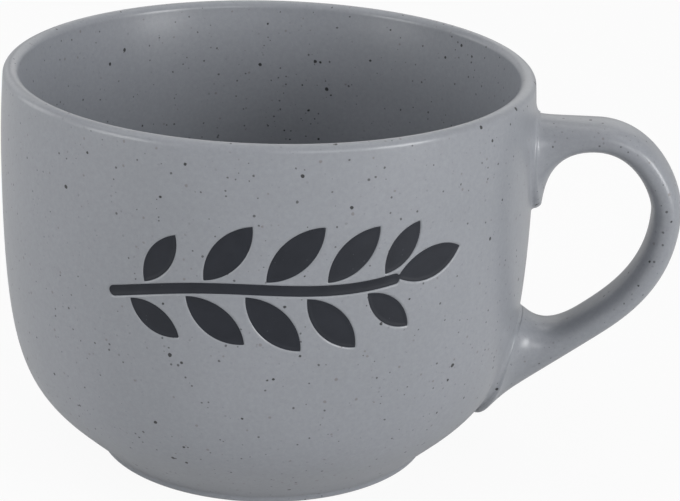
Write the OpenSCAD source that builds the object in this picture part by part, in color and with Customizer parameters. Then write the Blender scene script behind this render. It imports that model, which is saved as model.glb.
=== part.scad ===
// Soup mug: a wide glazed bowl on a low foot ring, with a strap handle luted on at two roots
// and a leafy sprig inlaid in dark glaze on the front. Millimetres, +Z up. The origin is on
// the bowl's axis in the plane that the foot stands on. The handle points along +X.

/* [Bowl] */
// Height of the mug, table to lip
mug_h = 89.5; // [88:0.1:105]
// Outer radius of the bowl at its widest
belly_r = 60; // [54:0.5:68]
// Height of the widest place
belly_z = 68.4; // [62:0.1:72]
// How far the lip draws in from the widest place
lip_draw = 0.7; // [0:0.1:1.5]
// Thickness of the wall at the lip
lip_wall = 3.5; // [2.8:0.1:4.4]
// Extra thickness that the wall gains below the lip
wall_gain = 2.2; // [1.2:0.1:2.6]
// Depth over which the wall gains it
wall_gain_depth = 18; // [12:1:24]
// Thickness of the floor above the raised base
floor_t = 5.2; // [4:0.1:7]
// Radius of the flat middle of the floor inside
floor_flat_r = 24; // [16:1:28]

/* [Belly] */
// Angle of the lower belly, from upright
belly_angle = 44.7; // [40:0.1:48]
// Pull of the lower belly's curve at the foot
belly_low_pull = 22.7; // [18:0.1:25]
// Pull of the lower belly's curve at the widest place
belly_high_pull = 54.9; // [48:0.1:58]

/* [Foot] */
// Outer radius of the foot ring
foot_r = 38.5; // [34:0.1:42]
// Width of the foot ring
foot_w = 5; // [3.5:0.1:7]
// Height of the foot ring's upright side
foot_h = 1.2; // [0.8:0.1:2.4]
// Height of the raised base inside the ring
base_rise = 2; // [1:0.1:3]
// Bevel on the edges of the foot ring
foot_bevel = 0.5; // [0.3:0.1:0.6]

/* [Handle] */
// Height of the upper arm's middle
arm_z = 77.8; // [74:0.1:79]
// Distance from the axis to the middle of the strap at its outermost
arm_reach = 90.1; // [84:0.1:100]
// Height of the outermost place
reach_z = 60.6; // [54:0.1:64]
// Width of the strap
strap_w = 14.2; // [12:0.1:17]
// Thickness of the strap
strap_t = 6.7; // [5.5:0.1:8]
// Distance from the axis at which the upper root becomes the arm
upper_join_r = 73.7; // [72:0.1:76]
// Distance from the axis at which the arm becomes the lower root
lower_join_r = 74.2; // [72:0.1:76]
// Height of the arm's middle there
lower_join_z = 33; // [31:0.1:35]
// Slope of the lower arm above level
arm_slope = 37.9; // [35:0.1:41]
// Pull of the upper arm's curve
arm_pull = 10.8; // [9:0.1:14]
// Pull of the curve above the outermost place
reach_up_pull = 5.5; // [4:0.1:8]
// Pull of the curve below the outermost place
reach_down_pull = 15.2; // [12:0.1:18]
// Pull of the lower arm's curve
slope_pull = 7.8; // [6:0.1:10]

/* [Roots] */
// Top of the upper root on the bowl
upper_root_top = 81.7; // [80.2:0.1:82.6]
// Lower end of the upper root's tail
upper_root_tail = 60; // [57:0.1:62]
// Width of the upper root
upper_root_w = 20; // [18:0.1:21.5]
// Top of the lower root on the bowl
lower_root_top = 34.5; // [33:0.1:37]
// Lower end of the lower root's tail
lower_root_tail = 10; // [8.5:0.1:12]
// Width of the lower root
lower_root_w = 26; // [22:0.5:27]
// Thickness of a root's rim at its head
head_rim = 0.4; // [0.3:0.05:0.8]
// Thickness of the upper root's rim at its tail
upper_tail_rim = 1.7; // [1.2:0.1:2.2]
// Thickness of the lower root's rim at its tail
lower_tail_rim = 2.6; // [1.8:0.1:3]
// How far a root's rim is rounded in at its tail
root_round = 1.3; // [0.8:0.1:1.8]
// How far the slip shows around a root
slip_bead = 0.7; // [0.4:0.1:1]
// Thickness of the slip under a root
slip_t = 0.5; // [0.3:0.1:0.8]

/* [Sprig] */
// Depth of the sprig's recess in the bowl
sprig_depth = 0.8; // [0.6:0.1:1.2]
// How far the dark glaze stays below the bowl's surface
inlay_depth = 0.25; // [0.1:0.05:0.4]
// Direction of the sprig's middle, from the handle
sprig_angle = -78.5; // [-95:0.5:-70]
// Height of the sprig's middle
sprig_z = 58.9; // [57:0.1:61]
// Length of the sprig along the bowl
sprig_length = 76; // [70:0.5:80]
// Rise of the sprig from one end to the other
sprig_rise = 8.2; // [4:0.1:10]
// Bow of the stem
stem_bow = 3.4; // [2:0.1:4]
// Width of the stem
stem_w = 2; // [1.4:0.1:2.4]
// Pairs of leaves on the stem
leaf_pairs = 5; // [4:1:5]
// Length of a leaf
leaf_length = 16.2; // [13:0.1:17]
// Width of a leaf
leaf_w = 6.6; // [5:0.1:7]
// Angle between a leaf and the stem
leaf_angle = 46; // [42:1:54]
// Gap between a leaf and the stem
leaf_gap = 0.9; // [0.7:0.1:1.4]

/* [Hidden] */

glaze_color = "#909296";
slip_color = "#85878b";
sprig_color = "#33363c";

// Numbers of steps in a curve
curve_steps = 14;
arm_steps = 12;
root_steps = 6;
ring_steps = 28;
stem_steps = 8;

// One overrun serves all cuts
overrun = 2;
// Exponent of the strap's rounded section, 2 being an ellipse
strap_roundness = 2.4;
// Shares of a root's length that its start on the bowl takes
upper_start_share = 0.34;
lower_start_share = 0.32;
// Shares of a root's length that its bend into the arm takes
upper_bend_share = 0.57;
lower_bend_share = 0.84;
// How closely a root's start follows the bowl, 1 being along its surface
upper_follow_share = 0.89;
lower_follow_share = 0.92;
// How much narrower a root's tail is than its head
tail_narrow_share = 0.42;
// Share of the lip's thickness that rounds its outer edge
lip_round_share = 0.45;

base_top = base_rise + floor_t;
lip_round = lip_wall * lip_round_share;
lip_r = belly_r - lip_draw;
lip_start_z = mug_h - lip_round;

// A point of a cubic curve with ends a, d and pulls b, c
function bezier(a, b, c, d, t) =
    pow(1 - t, 3) * a + 3 * pow(1 - t, 2) * t * b + 3 * (1 - t) * t * t * c + t * t * t * d;

// The direction of travel along that curve
function bezier_way(a, b, c, d, t) =
    let (way = pow(1 - t, 2) * (b - a) + 2 * (1 - t) * t * (c - b) + t * t * (d - c))
    way / norm(way);

// Outer profile of the bowl as [radius, height], from foot to widest place
belly_start = [foot_r, foot_h];
belly_low = belly_start + belly_low_pull * [sin(belly_angle), cos(belly_angle)];
belly_end = [belly_r, belly_z];
belly_high = belly_end - [0, belly_high_pull];
belly_points = [for (i = [0 : curve_steps])
    bezier(belly_start, belly_low, belly_high, belly_end, i / curve_steps)];

// From the widest place to the rounding of the lip
function upper_r(z) = belly_r - lip_draw * pow((z - belly_z) / (lip_start_z - belly_z), 2);
upper_steps = 4;
upper_points = [for (i = [1 : upper_steps])
    let (z = belly_z + (lip_start_z - belly_z) * i / upper_steps) [upper_r(z), z]];
outer_points = concat(belly_points, upper_points);

// Radius of the bowl's outside at a height, read along its own facets
function outer_r(z) =
    z <= foot_h ? foot_r : z >= lip_start_z ? lip_r : lookup(z, [for (p = outer_points) [p[1], p[0]]]);

// Direction across the outer profile at point i, pointing out of the bowl
function across(i, points) =
    let (last = len(points) - 1,
         way = points[min(i + 1, last)] - points[max(i - 1, 0)])
    [way[1], -way[0]] / norm(way);

// Points of the lip, a half round from outside to inside
lip_steps = 8;
lip_points = [for (i = [1 : lip_steps - 1])
    let (turn = 180 * i / lip_steps, half = lip_wall / 2)
    [lip_r - half + half * cos(turn), lip_start_z + lip_round * sin(turn)]];

// Inner profile, from lip to floor
function wall_at(z) =
    lip_wall + wall_gain * (1 - pow(1 - min(1, (lip_start_z - z) / wall_gain_depth), 2));
inner_wall_points = [for (i = [len(outer_points) - 1 : -1 : 0])
    let (p = outer_points[i],
         inward = p - wall_at(p[1]) * across(i, outer_points),
         wall_point = i == len(outer_points) - 1 ? [lip_r - lip_wall, lip_start_z] : inward)
    if (wall_point[1] > base_top + floor_t && wall_point[0] > floor_flat_r) wall_point];
inner_last = inner_wall_points[len(inner_wall_points) - 1];
inner_before = inner_wall_points[len(inner_wall_points) - 2];
inner_way = (inner_last - inner_before) / norm(inner_last - inner_before);
floor_bend = (inner_last[1] - base_top) / abs(inner_way[1]);
floor_corner = inner_last + inner_way * min(floor_bend, (inner_last[0] - floor_flat_r) / 2);
floor_edge = [floor_flat_r, base_top];
floor_steps = 6;
floor_points = [for (i = [1 : floor_steps])
    let (corner = [(floor_corner[0] + floor_edge[0]) / 2, base_top])
    bezier(inner_last, floor_corner, corner, floor_edge, i / floor_steps)];

foot_in = foot_r - foot_w;
foot_points = [
    [0, base_rise],
    [foot_in - foot_bevel, base_rise],
    [foot_in, base_rise - foot_bevel],
    [foot_in, foot_bevel],
    [foot_in + foot_bevel, 0],
    [foot_r - foot_bevel, 0],
    [foot_r, foot_bevel],
];

module bowl_solid() {
    rotate_extrude($fn = 180)
        polygon(concat(foot_points, outer_points, lip_points, inner_wall_points,
                       floor_points, [[0, base_top]]));
}

// A ring that follows the bowl's outside between two depths below its surface
module skin(deep, shallow, low, high) {
    last = len(outer_points) - 1;
    from = max([for (i = [0 : last]) if (i == 0 || outer_points[i][1] <= low) i]);
    to = min([for (i = [0 : last]) if (i == last || outer_points[i][1] >= high) i]);
    inside = [for (i = [from : to]) outer_points[i] - deep * across(i, outer_points)];
    outside = [for (i = [to : -1 : from]) outer_points[i] - shallow * across(i, outer_points)];
    rotate_extrude($fn = 180)
        polygon(concat(inside, outside));
}

// Sprig, laid out on the bowl unrolled flat: along runs around the bowl, up is height

function stem_up(share) =
    sprig_rise * (share - 1 / 2) + stem_bow * sin(360 * share) / 2;
function stem_point(share) = [sprig_length * (share - 1 / 2), stem_up(share)];
stem_probe_share = 0.02;
function stem_angle(share) =
    let (d = stem_point(min(share + stem_probe_share, 1)) - stem_point(max(share - stem_probe_share, 0)))
    atan2(d[1], d[0]);

// Share of the sprig's length that the stem fills, before the tip leaf
stem_end_share = 0.8;
// Shares of the sprig's length at the first and last pair of leaves
first_leaf_share = 0.05;
last_leaf_share = 0.72;
// How far the upper leaf of a pair sits ahead of the lower one
leaf_lag_share = 0.055;
// Size of the first and last leaves against the middle ones
end_leaf_share = 0.78;

function leaf_share(i, side) =
    first_leaf_share + (last_leaf_share - first_leaf_share) * i / (leaf_pairs - 1)
        + (side > 0 ? leaf_lag_share : 0);
function leaf_scale(i) =
    1 - (1 - end_leaf_share) * pow(2 * i / (leaf_pairs - 1) - 1, 2);

// Outline of a leaf with its foot at zero, pointing along +X, as two crossing discs
module leaf_outline(long, wide) {
    disc_r = (long * long + wide * wide) / (4 * wide);
    intersection() {
        translate([long / 2, disc_r - wide / 2])
            circle(r = disc_r, $fn = 120);
        translate([long / 2, wide / 2 - disc_r])
            circle(r = disc_r, $fn = 120);
    }
}

// Stands a flat outline up on the bowl at a place of the unrolled sprig
module on_bowl(place) {
    around = sprig_angle + place[0] / belly_r * 180 / PI;
    rotate([0, 0, around])
        translate([belly_r - sprig_depth - overrun, 0, sprig_z + place[1]])
            rotate([90, 0, 90])
                linear_extrude(sprig_depth + 2 * overrun)
                    children();
}

module leaf_prism(share, size, side) {
    turn = stem_angle(share) + side * leaf_angle;
    start = stem_point(share) + (stem_w / 2 + leaf_gap) * side
        * [-sin(stem_angle(share)), cos(stem_angle(share))];
    middle = start + size * leaf_length / 2 * [cos(turn), sin(turn)];
    on_bowl(middle)
        rotate(turn)
            translate([-size * leaf_length / 2, 0])
                leaf_outline(size * leaf_length, size * leaf_w);
}

module leaf_row_prisms(side) {
    for (i = [0 : leaf_pairs - 1])
        leaf_prism(leaf_share(i, side), leaf_scale(i), side);
}

module tip_leaf_prism() {
    turn = stem_angle(1);
    start = stem_point(stem_end_share) + leaf_gap * [cos(turn), sin(turn)];
    middle = start + leaf_length / 2 * [cos(turn), sin(turn)];
    on_bowl(middle)
        rotate(turn)
            translate([-leaf_length / 2, 0])
                leaf_outline(leaf_length, leaf_w);
}

// The stem as short straight lengths with round ends, each stood up where it lies
module stem_prisms() {
    for (i = [0 : stem_steps - 1]) {
        a = stem_point(stem_end_share * i / stem_steps);
        b = stem_point(stem_end_share * (i + 1) / stem_steps);
        middle = (a + b) / 2;
        long = norm(b - a);
        on_bowl(middle)
            rotate(atan2(b[1] - a[1], b[0] - a[0])) {
                square([long, stem_w], center = true);
                translate([long / 2, 0])
                    circle(d = stem_w, $fn = 32);
                translate([-long / 2, 0])
                    circle(d = stem_w, $fn = 32);
            }
    }
}

sprig_reach = sprig_rise / 2 + stem_bow + leaf_length + stem_w;
sprig_low = sprig_z - sprig_reach;
sprig_high = min(sprig_z + sprig_reach, lip_start_z - lip_round);

module sprig_recess() {
    intersection() {
        skin(sprig_depth, -overrun, sprig_low, sprig_high);
        union() {
            stem_prisms();
            leaf_row_prisms(1);
            leaf_row_prisms(-1);
            tip_leaf_prism();
        }
    }
}

module inlay() {
    color(sprig_color)
        intersection() {
            skin(sprig_depth, inlay_depth, sprig_low, sprig_high);
            children();
        }
}

module bowl() {
    color(glaze_color)
        difference() {
            bowl_solid();
            sprig_recess();
        }
}

module sprig_stem() { inlay() stem_prisms(); }
module sprig_upper_leaves() { inlay() leaf_row_prisms(1); }
module sprig_lower_leaves() { inlay() leaf_row_prisms(-1); }
module sprig_tip_leaf() { inlay() tip_leaf_prism(); }

// Handle, as rings of points from the upper root along the arm to the lower root

upper_join = [upper_join_r, arm_z];
outermost = [arm_reach, reach_z];
lower_join = [lower_join_r, lower_join_z];
slope_way = [cos(arm_slope), sin(arm_slope)];
upper_pulls = [upper_join + [arm_pull, 0], outermost + [0, reach_up_pull]];
lower_pulls = [outermost - [0, reach_down_pull], lower_join + slope_pull * slope_way];

// Cosine and sine of a step round the section, swollen to the strap's rounded form
function swollen(v) = sign(v) * pow(abs(v), 2 / strap_roundness);
function ring_cos(j) = swollen(cos(360 * j / ring_steps));
function ring_sin(j) = swollen(sin(360 * j / ring_steps));

// One ring of the arm: outward is to the left of the way that the arm runs
function arm_ring(middle, way) =
    [for (j = [0 : ring_steps - 1])
        let (r = middle + strap_t / 2 * ring_cos(j) * [-way[1], way[0]])
        [r[0], strap_w / 2 * ring_sin(j), r[1]]];

function curve_rings(a, b, c, d, first) =
    [for (i = [first : arm_steps])
        let (t = i / arm_steps)
        arm_ring(bezier(a, b, c, d, t), bezier_way(a, b, c, d, t))];

arm_rings = concat(
    curve_rings(upper_join, upper_pulls[0], upper_pulls[1], outermost, 0),
    curve_rings(outermost, lower_pulls[0], lower_pulls[1], lower_join, 1));

// Direction out of the bowl's outside at a height, as radius and height
slope_probe_share = 0.01;
function out_way(z) =
    let (probe = belly_z * slope_probe_share,
         lean = (outer_r(z + probe) - outer_r(z - probe)) / (2 * probe))
    [1, -lean] / norm([1, lean]);

// A point at a height and distance aside, lying off the bowl's outside
function off_bowl(z, aside, off) =
    let (way = out_way(z), r = outer_r(z) + off * way[0])
    [sqrt(r * r - aside * aside), aside, z + off * way[1]];

// Direction out of the bowl's outside at a height and distance aside
function out_of_bowl(z, aside) =
    let (way = out_way(z), turned = aside / outer_r(z))
    [way[0] * sqrt(1 - turned * turned), way[0] * turned, way[1]];

// A root as its top, tail, width and tail rim, and 1 where a ring's first point is its head
upper_root = [upper_root_top, upper_root_tail, upper_root_w, upper_tail_rim, 1];
lower_root = [lower_root_top, lower_root_tail, lower_root_w, lower_tail_rim, -1];
function root_middle(root) = (root[0] + root[1]) / 2;

// Half width of a root beside its middle line: full at the head, narrow at the tail
function root_half(wide, head) =
    wide / 2 * (1 - tail_narrow_share * pow((1 - head) / 2, 2));

// Thickness of a root's rim: thin at the head, full at the tail
function rim_t(root, head) = head_rim + (root[3] - head_rim) * pow((1 - head) / 2, 2);

// Height and distance aside of a root's outline at step j, drawn in and scaled
function root_place(root, j, turn, size) =
    let (head = ring_cos(j) * root[4],
         drawn_in = root_round * rim_t(root, head) / root[3] * (1 - cos(turn)))
    [root_middle(root) + size * head * ((root[0] - root[1]) / 2 - drawn_in),
     size * ring_sin(j) * (root_half(root[2], head) - drawn_in)];

// A ring of a root, where turn runs from 0 on the slip to 90 on top of the rim
function root_ring(root, turn, size) =
    [for (j = [0 : ring_steps - 1])
        let (place = root_place(root, j, turn, size))
        off_bowl(place[0], place[1], slip_t + rim_t(root, ring_cos(j) * root[4]) * sin(turn))];

// The rounded rim of a root, from the slip outwards
rim_steps = 3;
function rim_rings(root) = [for (q = [0 : rim_steps]) root_ring(root, 90 * q / rim_steps, 1)];

// The face of a root on the slip, from its middle to its rim
cap_steps = 8;
function cap_rings(root) = [for (q = [1 : cap_steps - 1]) root_ring(root, 0, q / cap_steps)];

// The flare between a root's rim and the end of the arm, where the arm runs along way
function flare_rings(root, arm_end, way, start_share, bend_share, follow_share) =
    let (rim = root_ring(root, 90, 1))
    [for (i = [1 : root_steps - 1])
        [for (j = [0 : ring_steps - 1])
            let (place = root_place(root, j, 90, 1),
                 out = out_of_bowl(place[0], place[1]),
                 span = arm_end[j] - rim[j],
                 start = rim[j] + start_share * (span - follow_share * (span * out) * out),
                 bend = arm_end[j] - bend_share * norm(span) * [way[0], 0, way[1]])
            bezier(rim[j], start, bend, arm_end[j], i / root_steps)]];

function flipped(list) = [for (i = [len(list) - 1 : -1 : 0]) list[i]];

handle_rings = concat(
    cap_rings(upper_root),
    rim_rings(upper_root),
    flare_rings(upper_root, arm_rings[0], [1, 0],
                upper_start_share, upper_bend_share, upper_follow_share),
    arm_rings,
    flipped(flare_rings(lower_root, arm_rings[len(arm_rings) - 1], slope_way,
                        lower_start_share, lower_bend_share, lower_follow_share)),
    flipped(rim_rings(lower_root)),
    flipped(cap_rings(lower_root)));

// Closes a row of rings into one solid, with a fan to a middle point at each end
module ring_solid(rings, first_middle, last_middle) {
    n = len(rings[0]);
    count = len(rings);
    points = concat([for (ring = rings) each ring], [first_middle, last_middle]);
    sides = [for (i = [0 : count - 2], j = [0 : n - 1])
        let (a = i * n + j, b = i * n + (j + 1) % n)
        each [[a, b, b + n], [a, b + n, a + n]]];
    ends = [for (j = [0 : n - 1])
        let (k = (j + 1) % n)
        each [[count * n, k, j],
              [count * n + 1, (count - 1) * n + j, (count - 1) * n + k]]];
    polyhedron(points, concat(sides, ends), convexity = 6);
}

module handle() {
    color(glaze_color)
        ring_solid(handle_rings,
                   off_bowl(root_middle(upper_root), 0, slip_t),
                   off_bowl(root_middle(lower_root), 0, slip_t));
}

// Slip under a root: a patch of the bowl's outside that shows as a bead around the rim
module slip_patch(root) {
    outline = [for (j = [0 : 2 * ring_steps - 1])
        let (head = ring_cos(j / 2))
        [(root_half(root[2], head) + slip_bead) * ring_sin(j / 2),
         root_middle(root) + head * ((root[0] - root[1]) / 2 + slip_bead)]];
    color(slip_color)
        intersection() {
            skin(0, -slip_t, root[1] - 2 * slip_bead, root[0] + 2 * slip_bead);
            rotate([90, 0, 90])
                linear_extrude(belly_r + overrun)
                    polygon(outline);
        }
}

module upper_slip_joint() { slip_patch(upper_root); }
module lower_slip_joint() { slip_patch(lower_root); }

bowl();
handle();
upper_slip_joint();
lower_slip_joint();
sprig_stem();
sprig_upper_leaves();
sprig_lower_leaves();
sprig_tip_leaf();
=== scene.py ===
import math

import bpy
import numpy as np
from mathutils import Matrix


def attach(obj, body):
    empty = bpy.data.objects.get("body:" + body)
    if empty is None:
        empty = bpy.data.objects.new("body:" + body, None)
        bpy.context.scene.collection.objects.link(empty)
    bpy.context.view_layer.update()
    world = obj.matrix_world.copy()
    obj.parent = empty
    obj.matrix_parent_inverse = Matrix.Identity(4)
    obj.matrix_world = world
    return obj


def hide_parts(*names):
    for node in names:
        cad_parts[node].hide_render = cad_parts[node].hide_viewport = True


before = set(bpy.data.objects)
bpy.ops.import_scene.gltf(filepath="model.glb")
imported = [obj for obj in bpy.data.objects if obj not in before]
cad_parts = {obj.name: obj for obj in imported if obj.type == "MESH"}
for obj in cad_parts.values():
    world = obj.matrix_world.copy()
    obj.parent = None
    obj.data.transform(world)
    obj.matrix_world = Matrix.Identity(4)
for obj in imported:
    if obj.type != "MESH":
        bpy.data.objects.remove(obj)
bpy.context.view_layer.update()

# Millimetres to metres: every size below is in millimetres, as in the part's source
MM = 0.001

# Bowl
MUG_H = 89.5
BELLY_R = 60.0
BELLY_Z = 68.4
LIP_DRAW = 0.7
LIP_WALL = 3.5
LIP_ROUND = 1.575
WALL_GAIN = 2.2
WALL_GAIN_DEPTH = 18.0
FLOOR_TOP = 7.2
FLOOR_FLAT_R = 24.0
BELLY_ANGLE = math.radians(44.7)
BELLY_LOW_PULL = 22.7
BELLY_HIGH_PULL = 54.9

# Foot
FOOT_R = 38.5
FOOT_W = 5.0
FOOT_H = 1.2
BASE_RISE = 2.0
FOOT_ROUND = 0.5
# The hollow corner between the raised base and the ring's inner face, and where its curve begins
HOLLOW_W = 1.6
HOLLOW_H = 1.2
HOLLOW_START = 0.25
# Below this height the ring's face is bare clay
BARE_BELOW = 0.2

# Handle
ARM_Z = 77.8
ARM_REACH = 90.1
REACH_Z = 60.6
STRAP_W = 14.2
STRAP_T = 6.7
UPPER_JOIN_R = 73.7
LOWER_JOIN = np.array([74.2, 33.0])
ARM_SLOPE = math.radians(37.9)
ARM_PULL = 10.8
REACH_UP_PULL = 5.5
REACH_DOWN_PULL = 15.2
SLOPE_PULL = 7.8
STRAP_ROUNDNESS = 2.4

# Roots of the handle on the bowl, side being 1 where a ring's first point is the head
UPPER_ROOT = {"top": 81.7, "tail": 60.0, "wide": 20.0, "tail_rim": 1.7, "side": 1,
              "start": 0.34, "bend": 0.57, "follow": 0.89}
LOWER_ROOT = {"top": 34.5, "tail": 10.0, "wide": 26.0, "tail_rim": 2.6, "side": -1,
              "start": 0.32, "bend": 0.84, "follow": 0.92}
HEAD_RIM = 0.4
ROOT_ROUND = 1.3
TAIL_NARROW_SHARE = 0.42
SLIP_T = 0.5

# Sprig, laid out on the bowl unrolled flat
SPRIG_DEPTH = 0.8
SPRIG_STEP = 0.25
SPRIG_TURN = math.radians(-78.5)
SPRIG_Z = 58.9
SPRIG_LENGTH = 76.0
SPRIG_RISE = 8.2
STEM_BOW = 3.4
STEM_W = 2.0
LEAF_PAIRS = 5
LEAF_LENGTH = 16.2
LEAF_W = 6.6
LEAF_SPREAD = math.radians(46)
LEAF_GAP = 0.9
STEM_END_SHARE = 0.8
FIRST_LEAF_SHARE = 0.05
LAST_LEAF_SHARE = 0.72
LEAF_LAG_SHARE = 0.055
END_LEAF_SHARE = 0.78
STEM_PROBE_SHARE = 0.02
# Straight chords that the distance to the stem is measured from
STEM_CHORDS = 24
FAR_AWAY = 1e3

# Camera, found from the mug's outline in the photograph
IMAGE_W = 680
CAMERA_PLACE = (57.80, -470.75, 224.73)
CAMERA_YAW = math.radians(-4.964)
CAMERA_PITCH = math.radians(20.690)
CAMERA_ROLL = math.radians(1.950)
FOCAL_PIXELS = 2200
SENSOR_MM = 36
CLIP_NEAR_FAR = (0.01, 20)


def bezier(a, b, c, d, t):
    a, b, c, d = (np.asarray(p, float) for p in (a, b, c, d))
    t = np.asarray(t, float)[:, None]
    return (1 - t) ** 3 * a + 3 * (1 - t) ** 2 * t * b + 3 * (1 - t) * t * t * c + t ** 3 * d


def bezier_way(a, b, c, d, t):
    a, b, c, d = (np.asarray(p, float) for p in (a, b, c, d))
    t = np.asarray(t, float)[:, None]
    way = (1 - t) ** 2 * (b - a) + 2 * (1 - t) * t * (c - b) + t * t * (d - c)
    return way / np.linalg.norm(way, axis=1)[:, None]


# Profile of the bowl

LIP_R = BELLY_R - LIP_DRAW
LIP_START_Z = MUG_H - LIP_ROUND


def upper_r(z):
    return BELLY_R - LIP_DRAW * ((z - BELLY_Z) / (LIP_START_Z - BELLY_Z)) ** 2


def belly_curve(t):
    start = np.array([FOOT_R, FOOT_H])
    low = start + BELLY_LOW_PULL * np.array([math.sin(BELLY_ANGLE), math.cos(BELLY_ANGLE)])
    end = np.array([BELLY_R, BELLY_Z])
    return bezier(start, low, end - [0, BELLY_HIGH_PULL], end, t)


FINE_BELLY = belly_curve(np.linspace(0, 1, 400))


def outer_r(z):
    """Radius of the bowl's outside at a height."""
    z = np.asarray(z, float)
    lower = np.interp(z, FINE_BELLY[:, 1], FINE_BELLY[:, 0])
    return np.where(z > BELLY_Z, upper_r(np.minimum(z, LIP_START_Z)), lower)


def outer_normal(z):
    """Outward direction across the bowl's outside at a height, as radius and height."""
    step = 0.2
    lean = (outer_r(z + step) - outer_r(z - step)) / (2 * step)
    n = np.stack([np.ones_like(lean), -lean], -1)
    return n / np.linalg.norm(n, axis=-1, keepdims=True)


# The sprig as signed distances on the unrolled bowl, negative inside a mark


def stem_point(share):
    up = SPRIG_RISE * (share - 0.5) + STEM_BOW * math.sin(2 * math.pi * share) / 2
    return np.array([SPRIG_LENGTH * (share - 0.5), up])


def stem_angle(share):
    d = stem_point(min(share + STEM_PROBE_SHARE, 1)) - stem_point(max(share - STEM_PROBE_SHARE, 0))
    return math.atan2(d[1], d[0])


def leaf_places(side):
    """Middle, direction and size of each leaf on one side of the stem."""
    found = []
    for i in range(LEAF_PAIRS):
        share = FIRST_LEAF_SHARE + (LAST_LEAF_SHARE - FIRST_LEAF_SHARE) * i / (LEAF_PAIRS - 1)
        share += 0 if side < 0 else LEAF_LAG_SHARE
        size = 1 - (1 - END_LEAF_SHARE) * (2 * i / (LEAF_PAIRS - 1) - 1) ** 2
        along = stem_angle(share)
        turn = along + side * LEAF_SPREAD
        aside = np.array([-math.sin(along), math.cos(along)])
        start = stem_point(share) + (STEM_W / 2 + LEAF_GAP) * side * aside
        way = np.array([math.cos(turn), math.sin(turn)])
        found.append((start + size * LEAF_LENGTH / 2 * way, turn, size))
    return found


def tip_place():
    turn = stem_angle(1)
    way = np.array([math.cos(turn), math.sin(turn)])
    return stem_point(STEM_END_SHARE) + (LEAF_GAP + LEAF_LENGTH / 2) * way, turn, 1.0


def leaf_distance(p, place):
    """Signed distance from points p to one leaf, the lens where two discs cross."""
    middle, turn, size = place
    long, wide = size * LEAF_LENGTH, size * LEAF_W
    disc_r = (long ** 2 + wide ** 2) / (4 * wide)
    q = p - middle
    x = q[..., 0] * math.cos(turn) + q[..., 1] * math.sin(turn)
    y = -q[..., 0] * math.sin(turn) + q[..., 1] * math.cos(turn)
    return np.hypot(x, np.abs(y) + disc_r - wide / 2) - disc_r


def stem_distance(p):
    far = np.full(p.shape[:-1], FAR_AWAY)
    ends = [stem_point(s) for s in np.linspace(0, STEM_END_SHARE, STEM_CHORDS + 1)]
    for a, b in zip(ends[:-1], ends[1:]):
        ab = b - a
        t = np.clip(((p - a) @ ab) / (ab @ ab), 0, 1)
        d = p - a - t[..., None] * ab
        far = np.minimum(far, np.hypot(d[..., 0], d[..., 1]))
    return far - STEM_W / 2


def sprig_distance(p):
    near = stem_distance(p)
    for place in leaf_places(1) + leaf_places(-1) + [tip_place()]:
        near = np.minimum(near, leaf_distance(p, place))
    return near


def smooth(x):
    x = np.clip(x, 0, 1)
    return x * x * (3 - 2 * x)


# How far outside and inside a mark's outline its wall is rounded
EDGE_OUT = 0.42
EDGE_IN = 0.30


def recess_depth(distance):
    return SPRIG_DEPTH * smooth((EDGE_OUT - distance) / (EDGE_OUT + EDGE_IN))


def new_object(name, verts, faces, smooth_shade=True):
    mesh = bpy.data.meshes.new(name)
    mesh.from_pydata([tuple(v) for v in verts], [], [tuple(f) for f in faces])
    mesh.validate()
    mesh.update()
    if smooth_shade:
        mesh.polygons.foreach_set("use_smooth", [True] * len(mesh.polygons))
    obj = bpy.data.objects.new(name, mesh)
    bpy.context.scene.collection.objects.link(obj)
    return obj


def spread(*stops):
    """Values through the given stops, each stop being a value and the number of steps to it."""
    values = [stops[0][0]]
    for (a, _), (b, steps) in zip(stops[:-1], stops[1:]):
        values += [a + (b - a) * (i + 1) / steps for i in range(steps)]
    return np.array(values)


def band_faces(rings, count, closed=False):
    """Faces between one ring of points and the next, and from the last to the first if closed."""
    faces = []
    for i in range(rings if closed else rings - 1):
        m = (i + 1) % rings
        for j in range(count):
            k = (j + 1) % count
            faces.append((i * count + j, i * count + k, m * count + k, m * count + j))
    return faces


def cap_faces(rings, count):
    """Faces that close the first and last ring on two middle points that follow the rings."""
    first_middle, last_middle = rings * count, rings * count + 1
    last = (rings - 1) * count
    faces = []
    for j in range(count):
        k = (j + 1) % count
        faces.append((first_middle, k, j))
        faces.append((last_middle, last + j, last + k))
    return faces


# Fineness of the bowl's skin: radii of the rings on the flat base and floor, steps of its
# roundings, and heights on the wall, each with the number of steps up to it. The skin is fine
# as far up as the sprig reaches.
BASE_RINGS = (8, 16, 24)
BASE_LAST_RING = 3
FLOOR_RINGS = (18, 12, 6)
FOOT_STEPS = 5
LIP_STEPS = 18
CORNER_STEPS = 16
SPRIG_TOP_Z = 77
OUTER_STOPS = ((FOOT_H, 0), (12, 18), (40, 30), (SPRIG_TOP_Z, 150))
RIM_STOPS = ((SPRIG_TOP_Z, 0), (LIP_START_Z, 12))
INNER_STOPS = ((LIP_START_Z, 0), (60, 16), (14, 34))
# Below this height the inside turns into the floor's rounded corner
INNER_END_Z = 13.5
# The columns are close together where the sprig is
FINE_HALF_ANGLE = math.radians(40)
FINE_COLUMNS = 330
COARSE_COLUMNS = 200


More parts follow.
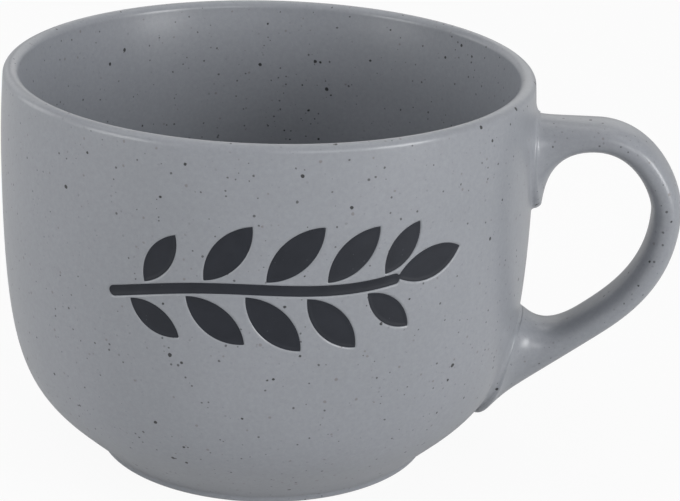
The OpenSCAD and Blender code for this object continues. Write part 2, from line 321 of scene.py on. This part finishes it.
def foot_profile():
    """From the middle of the base, under the foot ring, to its outer edge."""
    foot_in = FOOT_R - FOOT_W
    hollow_r = foot_in - HOLLOW_W
    hollow_z = BASE_RISE - HOLLOW_H
    c = FOOT_ROUND
    quarter = np.linspace(0, math.pi / 2, FOOT_STEPS)
    points = [(r, BASE_RISE) for r in (*BASE_RINGS, foot_in - BASE_LAST_RING, hollow_r)]
    points += [(hollow_r + HOLLOW_W * math.sin(a), hollow_z + HOLLOW_H * math.cos(a))
               for a in np.linspace(HOLLOW_START, math.pi / 2, FOOT_STEPS)]
    points += [(foot_in + c - c * math.cos(a), c - c * math.sin(a)) for a in quarter]
    points += [(foot_in + FOOT_W / 2, 0)]
    points += [(FOOT_R - c + c * math.sin(a), c - c * math.cos(a)) for a in quarter]
    return points


def outside_profile():
    heights = np.concatenate([spread(*OUTER_STOPS), spread(*RIM_STOPS)[1:]])
    return [(float(outer_r(z)), z) for z in heights]


def lip_profile():
    half = LIP_WALL / 2
    return [(LIP_R - half + half * math.cos(a), LIP_START_Z + LIP_ROUND * math.sin(a))
            for a in np.linspace(0, math.pi, LIP_STEPS)[1:-1]]


def inside_profile():
    """From the lip down the inside, round the floor's corner and across the floor."""
    points = []
    for z in spread(*INNER_STOPS):
        depth_share = min(1, (LIP_START_Z - z) / WALL_GAIN_DEPTH)
        wall = LIP_WALL + WALL_GAIN * (1 - (1 - depth_share) ** 2)
        n = outer_normal(z)
        points.append((float(outer_r(z)) - wall * float(n[0]), z - wall * float(n[1])))
    points[0] = (LIP_R - LIP_WALL, LIP_START_Z)
    points = [p for p in points if p[1] > INNER_END_Z]
    last, before = np.array(points[-1]), np.array(points[-2])
    way = (last - before) / np.linalg.norm(last - before)
    reach = (last[1] - FLOOR_TOP) / -way[1]
    corner = last + way * min(reach, (last[0] - FLOOR_FLAT_R) / 2)
    edge = np.array([FLOOR_FLAT_R, FLOOR_TOP])
    middle = np.array([(corner[0] + edge[0]) / 2, FLOOR_TOP])
    turn = np.linspace(0, 1, CORNER_STEPS)[1:]
    points += [tuple(p) for p in bezier(last, corner, middle, edge, turn)]
    return points + [(r, FLOOR_TOP) for r in FLOOR_RINGS]


def make_bowl():
    """The bowl, the profile rows whose faces are bare clay, and the number of columns."""
    foot, outside = foot_profile(), outside_profile()
    profile = np.array(foot + outside + lip_profile() + inside_profile())
    left, right = SPRIG_TURN - FINE_HALF_ANGLE, SPRIG_TURN + FINE_HALF_ANGLE
    angles = np.concatenate([
        np.linspace(left, right, FINE_COLUMNS, endpoint=False),
        np.linspace(right, left + 2 * math.pi, COARSE_COLUMNS, endpoint=False)])
    rows, columns = len(profile), len(angles)
    r = np.repeat(profile[:, 0][:, None], columns, 1)
    z = np.repeat(profile[:, 1][:, None], columns, 1)
    rows_out = slice(len(foot), len(foot) + len(outside))
    around = (angles - SPRIG_TURN + math.pi) % (2 * math.pi) - math.pi
    place = np.stack(np.broadcast_arrays(around[None, :] * BELLY_R, z[rows_out] - SPRIG_Z), -1)
    depth = recess_depth(sprig_distance(place))
    normal = outer_normal(profile[rows_out, 1])
    r[rows_out] -= depth * normal[:, :1]
    z[rows_out] -= depth * normal[:, 1:]
    verts = np.stack([r * np.cos(angles), r * np.sin(angles), z], -1).reshape(-1, 3)
    verts = np.vstack([verts, [[0, 0, BASE_RISE], [0, 0, FLOOR_TOP]]]) * MM
    faces = band_faces(rows, columns) + cap_faces(rows, columns)
    bare_rows = [i for i in range(len(foot))
                 if max(profile[i, 1], profile[i + 1, 1]) < BARE_BELOW]
    return new_object("bowl_shell", verts, faces), bare_rows, columns


# Handle, as rings of points from the upper root along the arm to the lower root

RING_STEPS = 72
ARM_STEPS = 48
RIM_STEPS = 8
FLARE_STEPS = 32
# Sizes of the rings between a root's middle and its edge
CAP_SIZES = (0.25, 0.5, 0.75)


def swollen(v):
    return np.sign(v) * np.abs(v) ** (2 / STRAP_ROUNDNESS)


RING_TURN = np.linspace(0, 2 * math.pi, RING_STEPS, endpoint=False)
RING_COS = swollen(np.cos(RING_TURN))
RING_SIN = swollen(np.sin(RING_TURN))


def arm_rings(a, b, c, d, t):
    rings = []
    for middle, way in zip(bezier(a, b, c, d, t), bezier_way(a, b, c, d, t)):
        r = middle + STRAP_T / 2 * RING_COS[:, None] * np.array([-way[1], way[0]])
        rings.append(np.stack([r[:, 0], STRAP_W / 2 * RING_SIN, r[:, 1]], -1))
    return rings


def off_bowl(z, aside, off):
    n = outer_normal(z)
    r = outer_r(z) + off * n[..., 0]
    return np.stack([np.sqrt(r * r - aside * aside), aside, z + off * n[..., 1]], -1)


def out_of_bowl(z, aside):
    n = outer_normal(z)
    turned = aside / outer_r(z)
    return np.stack([n[:, 0] * np.sqrt(1 - turned ** 2), n[:, 0] * turned, n[:, 1]], -1)


def rim_height(root):
    head = RING_COS * root["side"]
    return HEAD_RIM + (root["tail_rim"] - HEAD_RIM) * ((1 - head) / 2) ** 2


def root_place(root, drawn_in, size=1.0):
    """Heights and distances aside of a root's outline, drawn in by an amount."""
    head = RING_COS * root["side"]
    half_w = root["wide"] / 2 * (1 - TAIL_NARROW_SHARE * ((1 - head) / 2) ** 2)
    half_h = (root["top"] - root["tail"]) / 2
    z = (root["top"] + root["tail"]) / 2 + size * head * (half_h - drawn_in)
    return z, size * RING_SIN * (half_w - drawn_in)


def root_ring(root, turn, size=1.0):
    """A ring of a root, where turn runs from 0 on the slip to a quarter turn on top of the rim."""
    rim = rim_height(root)
    z, aside = root_place(root, ROOT_ROUND * rim / root["tail_rim"] * (1 - math.cos(turn)), size)
    return off_bowl(z, aside, SLIP_T + rim * math.sin(turn))


def rim_rings(root, steps):
    return [root_ring(root, turn) for turn in np.linspace(0, math.pi / 2, steps + 1)]


def flare_rings(root, arm_end, way, steps):
    rim = root_ring(root, math.pi / 2)
    z, aside = root_place(root, ROOT_ROUND * rim_height(root) / root["tail_rim"])
    out = out_of_bowl(z, aside)
    span = arm_end - rim
    start = rim + root["start"] * (span - root["follow"] * (span * out).sum(1)[:, None] * out)
    long = np.linalg.norm(span, axis=1)[:, None]
    bend = arm_end - root["bend"] * long * np.array([way[0], 0, way[1]])
    return [(1 - t) ** 3 * rim + 3 * (1 - t) ** 2 * t * start
            + 3 * (1 - t) * t * t * bend + t ** 3 * arm_end
            for t in np.linspace(0, 1, steps + 1)[1:-1]]


def make_handle():
    upper_join = np.array([UPPER_JOIN_R, ARM_Z])
    outermost = np.array([ARM_REACH, REACH_Z])
    slope_way = np.array([math.cos(ARM_SLOPE), math.sin(ARM_SLOPE)])
    t = np.linspace(0, 1, ARM_STEPS + 1)
    arm = arm_rings(upper_join, upper_join + [ARM_PULL, 0],
                    outermost + [0, REACH_UP_PULL], outermost, t)
    arm += arm_rings(outermost, outermost - [0, REACH_DOWN_PULL],
                     LOWER_JOIN + SLOPE_PULL * slope_way, LOWER_JOIN, t[1:])
    rings = [root_ring(UPPER_ROOT, 0, size) for size in CAP_SIZES]
    rings += rim_rings(UPPER_ROOT, RIM_STEPS)
    rings += flare_rings(UPPER_ROOT, arm[0], (1, 0), FLARE_STEPS)
    rings += arm
    rings += flare_rings(LOWER_ROOT, arm[-1], slope_way, FLARE_STEPS)[::-1]
    rings += rim_rings(LOWER_ROOT, RIM_STEPS)[::-1]
    rings += [root_ring(LOWER_ROOT, 0, size) for size in CAP_SIZES[::-1]]
    middles = [off_bowl(np.array((root["top"] + root["tail"]) / 2), np.array(0.0), SLIP_T)
               for root in (UPPER_ROOT, LOWER_ROOT)]
    verts = np.vstack(rings + [np.array(middles)]) * MM
    faces = band_faces(len(rings), RING_STEPS) + cap_faces(len(rings), RING_STEPS)
    return new_object("handle_strap", verts, faces)


# How wide the slip's hollow fillet spreads over the bowl at a root's head and tail, how much
# lower it is at the tail, and where on the root, from 1 at the head to -1, it turns from one
# to the other
FILLET_HEAD = 3.0
FILLET_TAIL = 0.9
FILLET_TAIL_LOSS_SHARE = 0.6
FILLET_TURN_HEAD = 0.4
FILLET_TURN_SPAN = 1.2
FILLET_STEPS = 12
# How deep the fillet's edge and its hidden back lie in the bowl, and how far the back is drawn in
FILLET_EDGE_DEPTH = 0.03
SLIP_BACK_DEPTH = 0.1
SLIP_BACK_DRAWN_IN = 0.5


def make_slip(name, root):
    """Slip round a root: a hollow fillet that rises from the bowl to the root's rim."""
    head = RING_COS * root["side"]
    tail_share = smooth((FILLET_TURN_HEAD - head) / FILLET_TURN_SPAN)
    wide = FILLET_HEAD + (FILLET_TAIL - FILLET_HEAD) * tail_share
    high = SLIP_T + rim_height(root) * (1 - FILLET_TAIL_LOSS_SHARE * tail_share)
    rings = []
    for a in np.linspace(0, math.pi / 2, FILLET_STEPS):
        z, aside = root_place(root, -wide * (1 - math.sin(a)))
        off = -FILLET_EDGE_DEPTH + (high + FILLET_EDGE_DEPTH) * (1 - math.cos(a))
        rings.append(off_bowl(z, aside, off))
    back = ((SLIP_BACK_DRAWN_IN, SLIP_T), (SLIP_BACK_DRAWN_IN, -SLIP_BACK_DEPTH),
            (-wide, -SLIP_BACK_DEPTH))
    for drawn_in, off in back:
        z, aside = root_place(root, drawn_in)
        rings.append(off_bowl(z, aside, off))
    faces = band_faces(len(rings), RING_STEPS, closed=True)
    return new_object(name, np.vstack(rings) * MM, faces)


# Inlays: each mark is a thin closed pillow of dark glaze in its recess


def on_bowl(p, depth):
    """Places points of the unrolled sprig on the bowl, a depth below its surface."""
    angle = SPRIG_TURN + p[..., 0] / BELLY_R
    z = SPRIG_Z + p[..., 1]
    n = outer_normal(z)
    r = outer_r(z) - depth * n[..., 0]
    return np.stack([r * np.cos(angle), r * np.sin(angle), z - depth * n[..., 1]], -1)


# How far an inlay runs under its recess's wall, how much its edge climbs the wall and over what
# width, how far its middle lies under the recess's step, and how far its back is off the floor
TUCK = 0.16
CLIMB = 0.10
CLIMB_W = 0.7
MIDDLE_DROP = 0.05
BACK_LIFT = 0.1
# An inlay's grid never gets narrower than this share of its width, or this half width at a tip
END_WIDTH_SHARE = 0.02
TIP_HALF_W = 0.02
# Points of an inlay's grid
LEAF_ROWS = 61
LEAF_COLUMNS = 25
STEM_ROWS = 121
STEM_COLUMNS = 13
STEM_END_ROWS = 8


def pillow_depth(distance):
    return SPRIG_STEP + MIDDLE_DROP - CLIMB * smooth((distance + CLIMB_W) / CLIMB_W)


def grid_loop(rows, columns):
    """Numbers of the points along a grid's edge, once round."""
    rim = [(0, j) for j in range(columns - 1)] + [(i, columns - 1) for i in range(rows - 1)]
    rim += [(rows - 1, j) for j in range(columns - 1, 0, -1)]
    rim += [(i, 0) for i in range(rows - 1, 0, -1)]
    return [i * columns + j for i, j in rim]


def closed_patch(name, grids):
    """One mesh of closed pillows, each from a grid of flat points and their distances."""
    verts, faces = [], []
    for grid, distance in grids:
        rows, columns = grid.shape[:2]
        back_depth = np.full(distance.shape, SPRIG_DEPTH - BACK_LIFT)
        top = on_bowl(grid, pillow_depth(distance)).reshape(-1, 3)
        bottom = on_bowl(grid, back_depth).reshape(-1, 3)
        start = len(verts)
        verts += list(top * MM) + list(bottom * MM)
        half = rows * columns
        for i in range(rows - 1):
            for j in range(columns - 1):
                a, b = start + i * columns + j, start + i * columns + j + 1
                c, d = b + columns, a + columns
                faces.append((a, d, c, b))
                faces.append((a + half, b + half, c + half, d + half))
        loop = [start + number for number in grid_loop(rows, columns)]
        for a, b in zip(loop, loop[1:] + loop[:1]):
            faces.append((a, b, b + half, a + half))
    return new_object(name, verts, faces)


def across(columns):
    """Places across an inlay from -1 to 1, closer together at the edges."""
    return np.sin(np.linspace(-1, 1, columns) * math.pi / 2)


def leaf_grid(place):
    middle, turn, size = place
    long, wide = size * LEAF_LENGTH, size * LEAF_W
    disc_r = (long ** 2 + wide ** 2) / (4 * wide)
    x = (long / 2 + TUCK) * across(LEAF_ROWS)
    grown = disc_r + TUCK
    half = np.sqrt(np.maximum(grown ** 2 - x ** 2, 0)) - disc_r + wide / 2
    half = np.maximum(half, TIP_HALF_W)
    y = half[:, None] * across(LEAF_COLUMNS)[None, :]
    x = np.repeat(x[:, None], LEAF_COLUMNS, 1)
    p = np.stack([x * math.cos(turn) - y * math.sin(turn),
                  x * math.sin(turn) + y * math.cos(turn)], -1) + middle
    return p, leaf_distance(p, place)


def stem_grid():
    v = across(STEM_COLUMNS)
    half_w = STEM_W / 2 + TUCK
    rows = []
    for s in np.linspace(0, STEM_END_SHARE, STEM_ROWS):
        angle = stem_angle(s)
        aside = np.array([-math.sin(angle), math.cos(angle)])
        rows.append(stem_point(s) + half_w * v[:, None] * aside)
    caps = np.sin(np.linspace(0, 1, STEM_END_ROWS)[1:] * math.pi / 2)
    for s, sign in ((0, -1), (STEM_END_SHARE, 1)):
        angle = stem_angle(s)
        way = np.array([math.cos(angle), math.sin(angle)])
        aside = np.array([-way[1], way[0]])
        more = []
        for c in caps:
            w = half_w * max(math.sqrt(1 - c * c), END_WIDTH_SHARE)
            more.append(stem_point(s) + sign * c * half_w * way + w * v[:, None] * aside)
        rows = more[::-1] + rows if sign < 0 else rows + more
    p = np.array(rows)
    return p, stem_distance(p)


# Materials


class Nodes:
    """Short names for making a material's nodes."""

    def __init__(self, name):
        self.material = bpy.data.materials.new(name)
        self.material.use_nodes = True
        self.tree = self.material.node_tree
        self.shader = self.tree.nodes["Principled BSDF"]

    def add(self, kind, **settings):
        node = self.tree.nodes.new(kind)
        for key, value in settings.items():
            setattr(node, key, value)
        return node

    def link(self, a, b):
        self.tree.links.new(a, b)

    def math(self, operation, a, b=None, clamp=False):
        node = self.add("ShaderNodeMath", operation=operation, use_clamp=clamp)
        for socket, value in zip(node.inputs, (a, b)):
            if value is None:
                continue
            if isinstance(value, (int, float)):
                socket.default_value = value
            else:
                self.link(value, socket)
        return node.outputs[0]

    def mix(self, factor, a, b, blend="MIX"):
        node = self.add("ShaderNodeMix", data_type="RGBA", blend_type=blend)
        for socket, value in ((node.inputs[0], factor), (node.inputs[6], a), (node.inputs[7], b)):
            if isinstance(value, (int, float)):
                socket.default_value = value
            elif isinstance(value, tuple):
                socket.default_value = (*value, 1)
            else:
                self.link(value, socket)
        return node.outputs[2]

    def millimetres(self):
        coordinates = self.add("ShaderNodeTexCoord")
        scaled = self.add("ShaderNodeVectorMath", operation="SCALE")
        self.link(coordinates.outputs["Object"], scaled.inputs[0])
        scaled.inputs["Scale"].default_value = 1 / MM
        return scaled.outputs[0]

    def noise(self, place, size, detail=2.0, roughness=0.5):
        node = self.add("ShaderNodeTexNoise")
        self.link(place, node.inputs["Vector"])
        node.inputs["Scale"].default_value = 1 / size
        node.inputs["Detail"].default_value = detail
        node.inputs["Roughness"].default_value = roughness
        return node.outputs["Fac"]

    def wobbled(self, place, size, amount):
        node = self.add("ShaderNodeTexNoise")
        self.link(place, node.inputs["Vector"])
        node.inputs["Scale"].default_value = 1 / size
        scaled = self.add("ShaderNodeVectorMath", operation="SCALE")
        self.link(node.outputs["Color"], scaled.inputs[0])
        scaled.inputs["Scale"].default_value = amount
        total = self.add("ShaderNodeVectorMath", operation="ADD")
        self.link(place, total.inputs[0])
        self.link(scaled.outputs[0], total.inputs[1])
        return total.outputs[0]

    def dots(self, place, cell, small, large, present, soft, shift):
        """Mask of round dots: one may lie in each cell, with a radius from small to large."""
        moved = self.add("ShaderNodeVectorMath", operation="ADD")
        self.link(place, moved.inputs[0])
        moved.inputs[1].default_value = (shift, 2 * shift, 3 * shift)
        node = self.add("ShaderNodeTexVoronoi", feature="F1", voronoi_dimensions="3D")
        self.link(moved.outputs[0], node.inputs["Vector"])
        node.inputs["Scale"].default_value = 1 / cell
        parts = self.add("ShaderNodeSeparateColor")
        self.link(node.outputs["Color"], parts.inputs[0])
        radius = self.math("MULTIPLY_ADD", parts.outputs[0], (large - small) / cell)
        radius.node.inputs[2].default_value = small / cell
        inside = self.math("SUBTRACT", radius, node.outputs["Distance"])
        mask = self.math("MULTIPLY", inside, cell / soft, clamp=True)
        chosen = self.math("LESS_THAN", parts.outputs[1], present)
        return self.math("MULTIPLY", mask, chosen)

    def bump(self, height, strength, distance):
        """Lets a height shape the surface, by a distance in millimetres."""
        node = self.add("ShaderNodeBump")
        node.inputs["Strength"].default_value = strength
        node.inputs["Distance"].default_value = distance * MM
        self.link(height, node.inputs["Height"])
        self.link(node.outputs[0], self.shader.inputs["Normal"])


def linear(r, g, b):
    """A colour on the 0 to 255 scale as the renderer's linear values."""
    return tuple(((v / 255 + 0.055) / 1.055) ** 2.4 for v in (r, g, b))


# Specks of the grey glaze: kind; size of the cell that may hold one, smallest and largest
# radius, share of the cells that hold one, width of the soft rim and shift of the pattern, all
# but the share in millimetres; strength; colour. The faint ones come in crowds.
GLAZE_SPECKS = (
    ("faint", (1.3, 0.10, 0.36, 0.45, 0.16, 3.0), 0.42, (86, 82, 84)),
    ("brown", (2.2, 0.18, 0.46, 0.30, 0.20, 11.0), 0.45, (98, 84, 80)),
    ("fine", (1.7, 0.16, 0.34, 0.40, 0.10, 7.0), 0.75, (46, 44, 48)),
    ("bold", (3.4, 0.26, 0.52, 0.30, 0.10, 19.0), 0.95, (24, 24, 28)),
)
# Slope and start of the crowds, cut off at 0 and 1
CROWD_SLOPE = 3.2
CROWD_START = -1.1
MOTTLE_SHARE = 0.16
GRAIN_DARK_LIGHT = (0.86, 1.14)
GLAZE_ROUGHNESS = 0.34
GLAZE_ROUGHNESS_RANGE = 0.10
PIT_DEPTH_SHARE = 0.6


def glaze_ground(n, place):
    """The glaze's grey: slow clouds, a darker mottle and a fine grain."""
    cloud = n.noise(place, 28, 2.0)
    base = n.mix(cloud, linear(143, 147, 153), linear(152, 155, 162))
    mottle = n.noise(place, 2.2, 3.0, 0.6)
    base = n.mix(n.math("MULTIPLY", mottle, MOTTLE_SHARE), base, linear(122, 122, 126))
    grain = n.noise(place, 1.0, 3.0, 0.75)
    dark, light = GRAIN_DARK_LIGHT
    grain = n.mix(grain, (dark, dark, dark), (light, light, light))
    return n.mix(1.0, base, grain, "MULTIPLY")


def speckled_glaze():
    n = Nodes("speckled_grey_glaze")
    place = n.millimetres()
    wobbly = n.wobbled(place, 0.8, 0.35)
    base = glaze_ground(n, place)
    crowd = n.math("MULTIPLY_ADD", n.noise(place, 14, 1.0), CROWD_SLOPE)
    crowd.node.inputs[2].default_value = CROWD_START
    crowd.node.use_clamp = True
    for kind, dots, strength, colour in GLAZE_SPECKS:
        specks = n.dots(wobbly, *dots)
        if kind == "faint":
            strength = n.math("MULTIPLY", crowd, strength)
        base = n.mix(n.math("MULTIPLY", specks, strength), base, linear(*colour))
    n.link(base, n.shader.inputs["Base Color"])
    rough = n.math("MULTIPLY_ADD", n.noise(place, 9, 2.0), GLAZE_ROUGHNESS_RANGE)
    rough.node.inputs[2].default_value = GLAZE_ROUGHNESS
    n.link(rough, n.shader.inputs["Roughness"])
    n.shader.inputs["Coat Weight"].default_value = 0.35
    n.shader.inputs["Coat Roughness"].default_value = 0.2
    # The last specks, the bold ones, are small pits in the rippled glaze
    height = n.math("MULTIPLY_ADD", specks, -PIT_DEPTH_SHARE)
    n.link(n.noise(place, 3.4, 2.0), height.node.inputs[2])
    n.bump(height, 0.25, 0.08)
    return n.material


def bare_clay():
    n = Nodes("bare_clay")
    place = n.millimetres()
    grain = n.noise(place, 0.9, 4.0, 0.65)
    base = n.mix(grain, linear(188, 178, 164), linear(206, 198, 186))
    specks = n.dots(place, 2.6, 0.1, 0.3, 0.25, 0.12, 5.0)
    base = n.mix(n.math("MULTIPLY", specks, 0.7), base, linear(92, 78, 68))
    n.link(base, n.shader.inputs["Base Color"])
    n.shader.inputs["Roughness"].default_value = 0.86
    n.bump(grain, 0.5, 0.06)
    return n.material


def dark_inlay():
    n = Nodes("dark_inlay_glaze")
    place = n.millimetres()
    cloud = n.noise(place, 5, 3.0, 0.6)
    base = n.mix(cloud, linear(26, 29, 36), linear(42, 45, 53))
    grains = n.dots(place, 1.1, 0.06, 0.2, 0.3, 0.1, 2.0)
    base = n.mix(n.math("MULTIPLY", grains, 0.35), base, linear(92, 94, 100))
    n.link(base, n.shader.inputs["Base Color"])
    n.shader.inputs["Roughness"].default_value = 0.5
    n.shader.inputs["Specular IOR Level"].default_value = 0.3
    n.bump(n.noise(place, 0.8, 2.0), 0.3, 0.05)
    return n.material


def seen_directly(tree, share, reflected_share):
    """How white the stage is to a ray from the camera or through glass, and from a reflection."""
    path = tree.nodes.new("ShaderNodeLightPath")
    kinds = (("Is Camera Ray", share), ("Is Transmission Ray", share),
             ("Is Glossy Ray", reflected_share))
    found = None
    for kind, white in kinds:
        scaled = tree.nodes.new("ShaderNodeMath")
        scaled.operation = "MULTIPLY"
        tree.links.new(path.outputs[kind], scaled.inputs[0])
        scaled.inputs[1].default_value = white
        if found is None:
            found = scaled.outputs[0]
            continue
        either = tree.nodes.new("ShaderNodeMath")
        either.operation = "MAXIMUM"
        tree.links.new(found, either.inputs[0])
        tree.links.new(scaled.outputs[0], either.inputs[1])
        found = either.outputs[0]
    return found


def white_to_camera(name, share, reflected_share):
    """White to the camera, less so in reflections, and a plain pale grey to the light."""
    material = bpy.data.materials.new(name)
    material.use_nodes = True
    tree = material.node_tree
    tree.nodes.clear()
    out = tree.nodes.new("ShaderNodeOutputMaterial")
    plain = tree.nodes.new("ShaderNodeBsdfDiffuse")
    plain.inputs["Color"].default_value = (FLOOR_GREY, FLOOR_GREY, FLOOR_GREY, 1)
    white = tree.nodes.new("ShaderNodeEmission")
    mix = tree.nodes.new("ShaderNodeMixShader")
    tree.links.new(seen_directly(tree, share, reflected_share), mix.inputs[0])
    tree.links.new(plain.outputs[0], mix.inputs[1])
    tree.links.new(white.outputs[0], mix.inputs[2])
    tree.links.new(mix.outputs[0], out.inputs["Surface"])
    return material


# Stage


def make_world():
    world = bpy.data.worlds.new("studio")
    bpy.context.scene.world = world
    world.use_nodes = True
    tree = world.node_tree
    background = tree.nodes["Background"]
    soft = tree.nodes.new("ShaderNodeBackground")
    soft.inputs["Color"].default_value = (1, 1, 1, 1)
    soft.inputs["Strength"].default_value = ROOM_STRENGTH
    background.inputs["Color"].default_value = (1, 1, 1, 1)
    background.inputs["Strength"].default_value = 1.0
    mix = tree.nodes.new("ShaderNodeMixShader")
    tree.links.new(seen_directly(tree, 1.0, WORLD_REFLECTED_SHARE), mix.inputs[0])
    tree.links.new(soft.outputs[0], mix.inputs[1])
    tree.links.new(background.outputs[0], mix.inputs[2])
    tree.links.new(mix.outputs[0], tree.nodes["World Output"].inputs["Surface"])


def make_floor():
    count = FLOOR_STEPS + 1
    places = np.linspace(-FLOOR_REACH, FLOOR_REACH, count)
    verts = [(x, y, -FLOOR_GAP) for x in places for y in places]
    faces = [(a, a + count, a + count + 1, a + 1)
             for a in (i * count + j for i in range(FLOOR_STEPS) for j in range(FLOOR_STEPS))]
    floor = new_object("floor", verts, faces, smooth_shade=False)
    white = white_to_camera("floor_white", FLOOR_WHITE_SHARE, FLOOR_REFLECTED_SHARE)
    floor.data.materials.append(white)


# Name, place and size in metres, and power of each soft box, all aimed at the mug's middle
LIGHTS = (
    ("right_front_box", (0.98, -0.50, 0.36), (0.40, 0.50), 6.3),
    ("front_right_box", (0.50, -0.95, 0.50), (0.45, 0.45), 1.9),
    ("left_front_box", (-0.72, -0.83, 0.36), (0.40, 0.50), 0.4),
    ("left_box", (-0.93, -0.58, 0.34), (0.50, 0.62), 3.8),
    ("left_back_box", (-1.05, 0.30, 0.34), (0.40, 0.62), 1.4),
    ("back_left_box", (-0.72, 0.88, 0.55), (0.50, 0.50), 0.5),
    ("top_box", (0.0, -0.05, 1.20), (1.20, 1.20), 1.8),
    ("top_back_box", (0.0, 0.60, 1.00), (0.80, 0.40), 1.2),
    ("top_left_box", (-0.62, 0.05, 1.05), (0.50, 0.50), 0.9),
    ("top_right_box", (0.62, 0.05, 1.05), (0.50, 0.50), 0.6),
    ("back_box", (0.10, 1.15, 0.55), (0.90, 0.50), 0.9),
)
LIGHT_AIM = (0, 0, 0.05)
ROOM_STRENGTH = 0.15

# The floor reaches this far to each side, in metres, and lies a gap under the foot, so that the
# two never share a plane
FLOOR_REACH = 1.6
FLOOR_STEPS = 12
FLOOR_GAP = 0.0001
FLOOR_GREY = 0.8
# How much of the white the floor shows to the camera and in reflections, and the room in
# reflections. The rest of the floor is lit and keeps the mug's shadow.
FLOOR_WHITE_SHARE = 0.93
FLOOR_REFLECTED_SHARE = 0.06
WORLD_REFLECTED_SHARE = 0.5


def area_light(name, place, size, power):
    light = bpy.data.lights.new(name, "AREA")
    light.shape = "RECTANGLE"
    light.size, light.size_y = size
    light.energy = power
    obj = bpy.data.objects.new(name, light)
    bpy.context.scene.collection.objects.link(obj)
    way = np.array(LIGHT_AIM) - np.array(place)
    way /= np.linalg.norm(way)
    right = np.cross(way, [0, 0, 1])
    right /= np.linalg.norm(right)
    up = np.cross(right, way)
    rows = [(right[i], up[i], -way[i], place[i]) for i in range(3)]
    obj.matrix_world = Matrix(rows + [(0, 0, 0, 1)])


def make_camera():
    data = bpy.data.cameras.new("camera")
    data.sensor_fit = "HORIZONTAL"
    data.sensor_width = SENSOR_MM
    data.lens = FOCAL_PIXELS / IMAGE_W * SENSOR_MM
    data.clip_start, data.clip_end = CLIP_NEAR_FAR
    camera = bpy.data.objects.new("camera", data)
    bpy.context.scene.collection.objects.link(camera)
    way = np.array([math.sin(CAMERA_YAW) * math.cos(CAMERA_PITCH),
                    math.cos(CAMERA_YAW) * math.cos(CAMERA_PITCH), -math.sin(CAMERA_PITCH)])
    level = np.cross(way, [0, 0, 1])
    level /= np.linalg.norm(level)
    above = np.cross(level, way)
    right = level * math.cos(CAMERA_ROLL) + above * math.sin(CAMERA_ROLL)
    up = -level * math.sin(CAMERA_ROLL) + above * math.cos(CAMERA_ROLL)
    rows = [(right[i], up[i], -way[i], CAMERA_PLACE[i] * MM) for i in range(3)]
    camera.matrix_world = Matrix(rows + [(0, 0, 0, 1)])
    bpy.context.scene.camera = camera


make_camera()
make_world()
make_floor()
for light in LIGHTS:
    area_light(*light)
bpy.context.scene.view_settings.view_transform = "Standard"

glaze = speckled_glaze()
clay = bare_clay()
inlay_glaze = dark_inlay()

bowl, bare_rows, bowl_columns = make_bowl()
bowl.data.materials.append(glaze)
bowl.data.materials.append(clay)
for row in bare_rows:
    for column in range(bowl_columns):
        bowl.data.polygons[row * bowl_columns + column].material_index = 1
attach(bowl, "root")
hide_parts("bowl")

handle = make_handle()
handle.data.materials.append(glaze)
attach(handle, "root")
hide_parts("handle")

for name, root in (("upper_slip_joint", UPPER_ROOT), ("lower_slip_joint", LOWER_ROOT)):
    bead = make_slip(name + "_bead", root)
    bead.data.materials.append(glaze)
    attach(bead, "root")
    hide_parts(name)

marks = {
    "sprig_stem": [stem_grid()],
    "sprig_upper_leaves": [leaf_grid(p) for p in leaf_places(1)],
    "sprig_lower_leaves": [leaf_grid(p) for p in leaf_places(-1)],
    "sprig_tip_leaf": [leaf_grid(tip_place())],
}
for name, grids in marks.items():
    inlay = closed_patch(name + "_glaze", grids)
    inlay.data.materials.append(inlay_glaze)
    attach(inlay, "root")
    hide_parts(name)
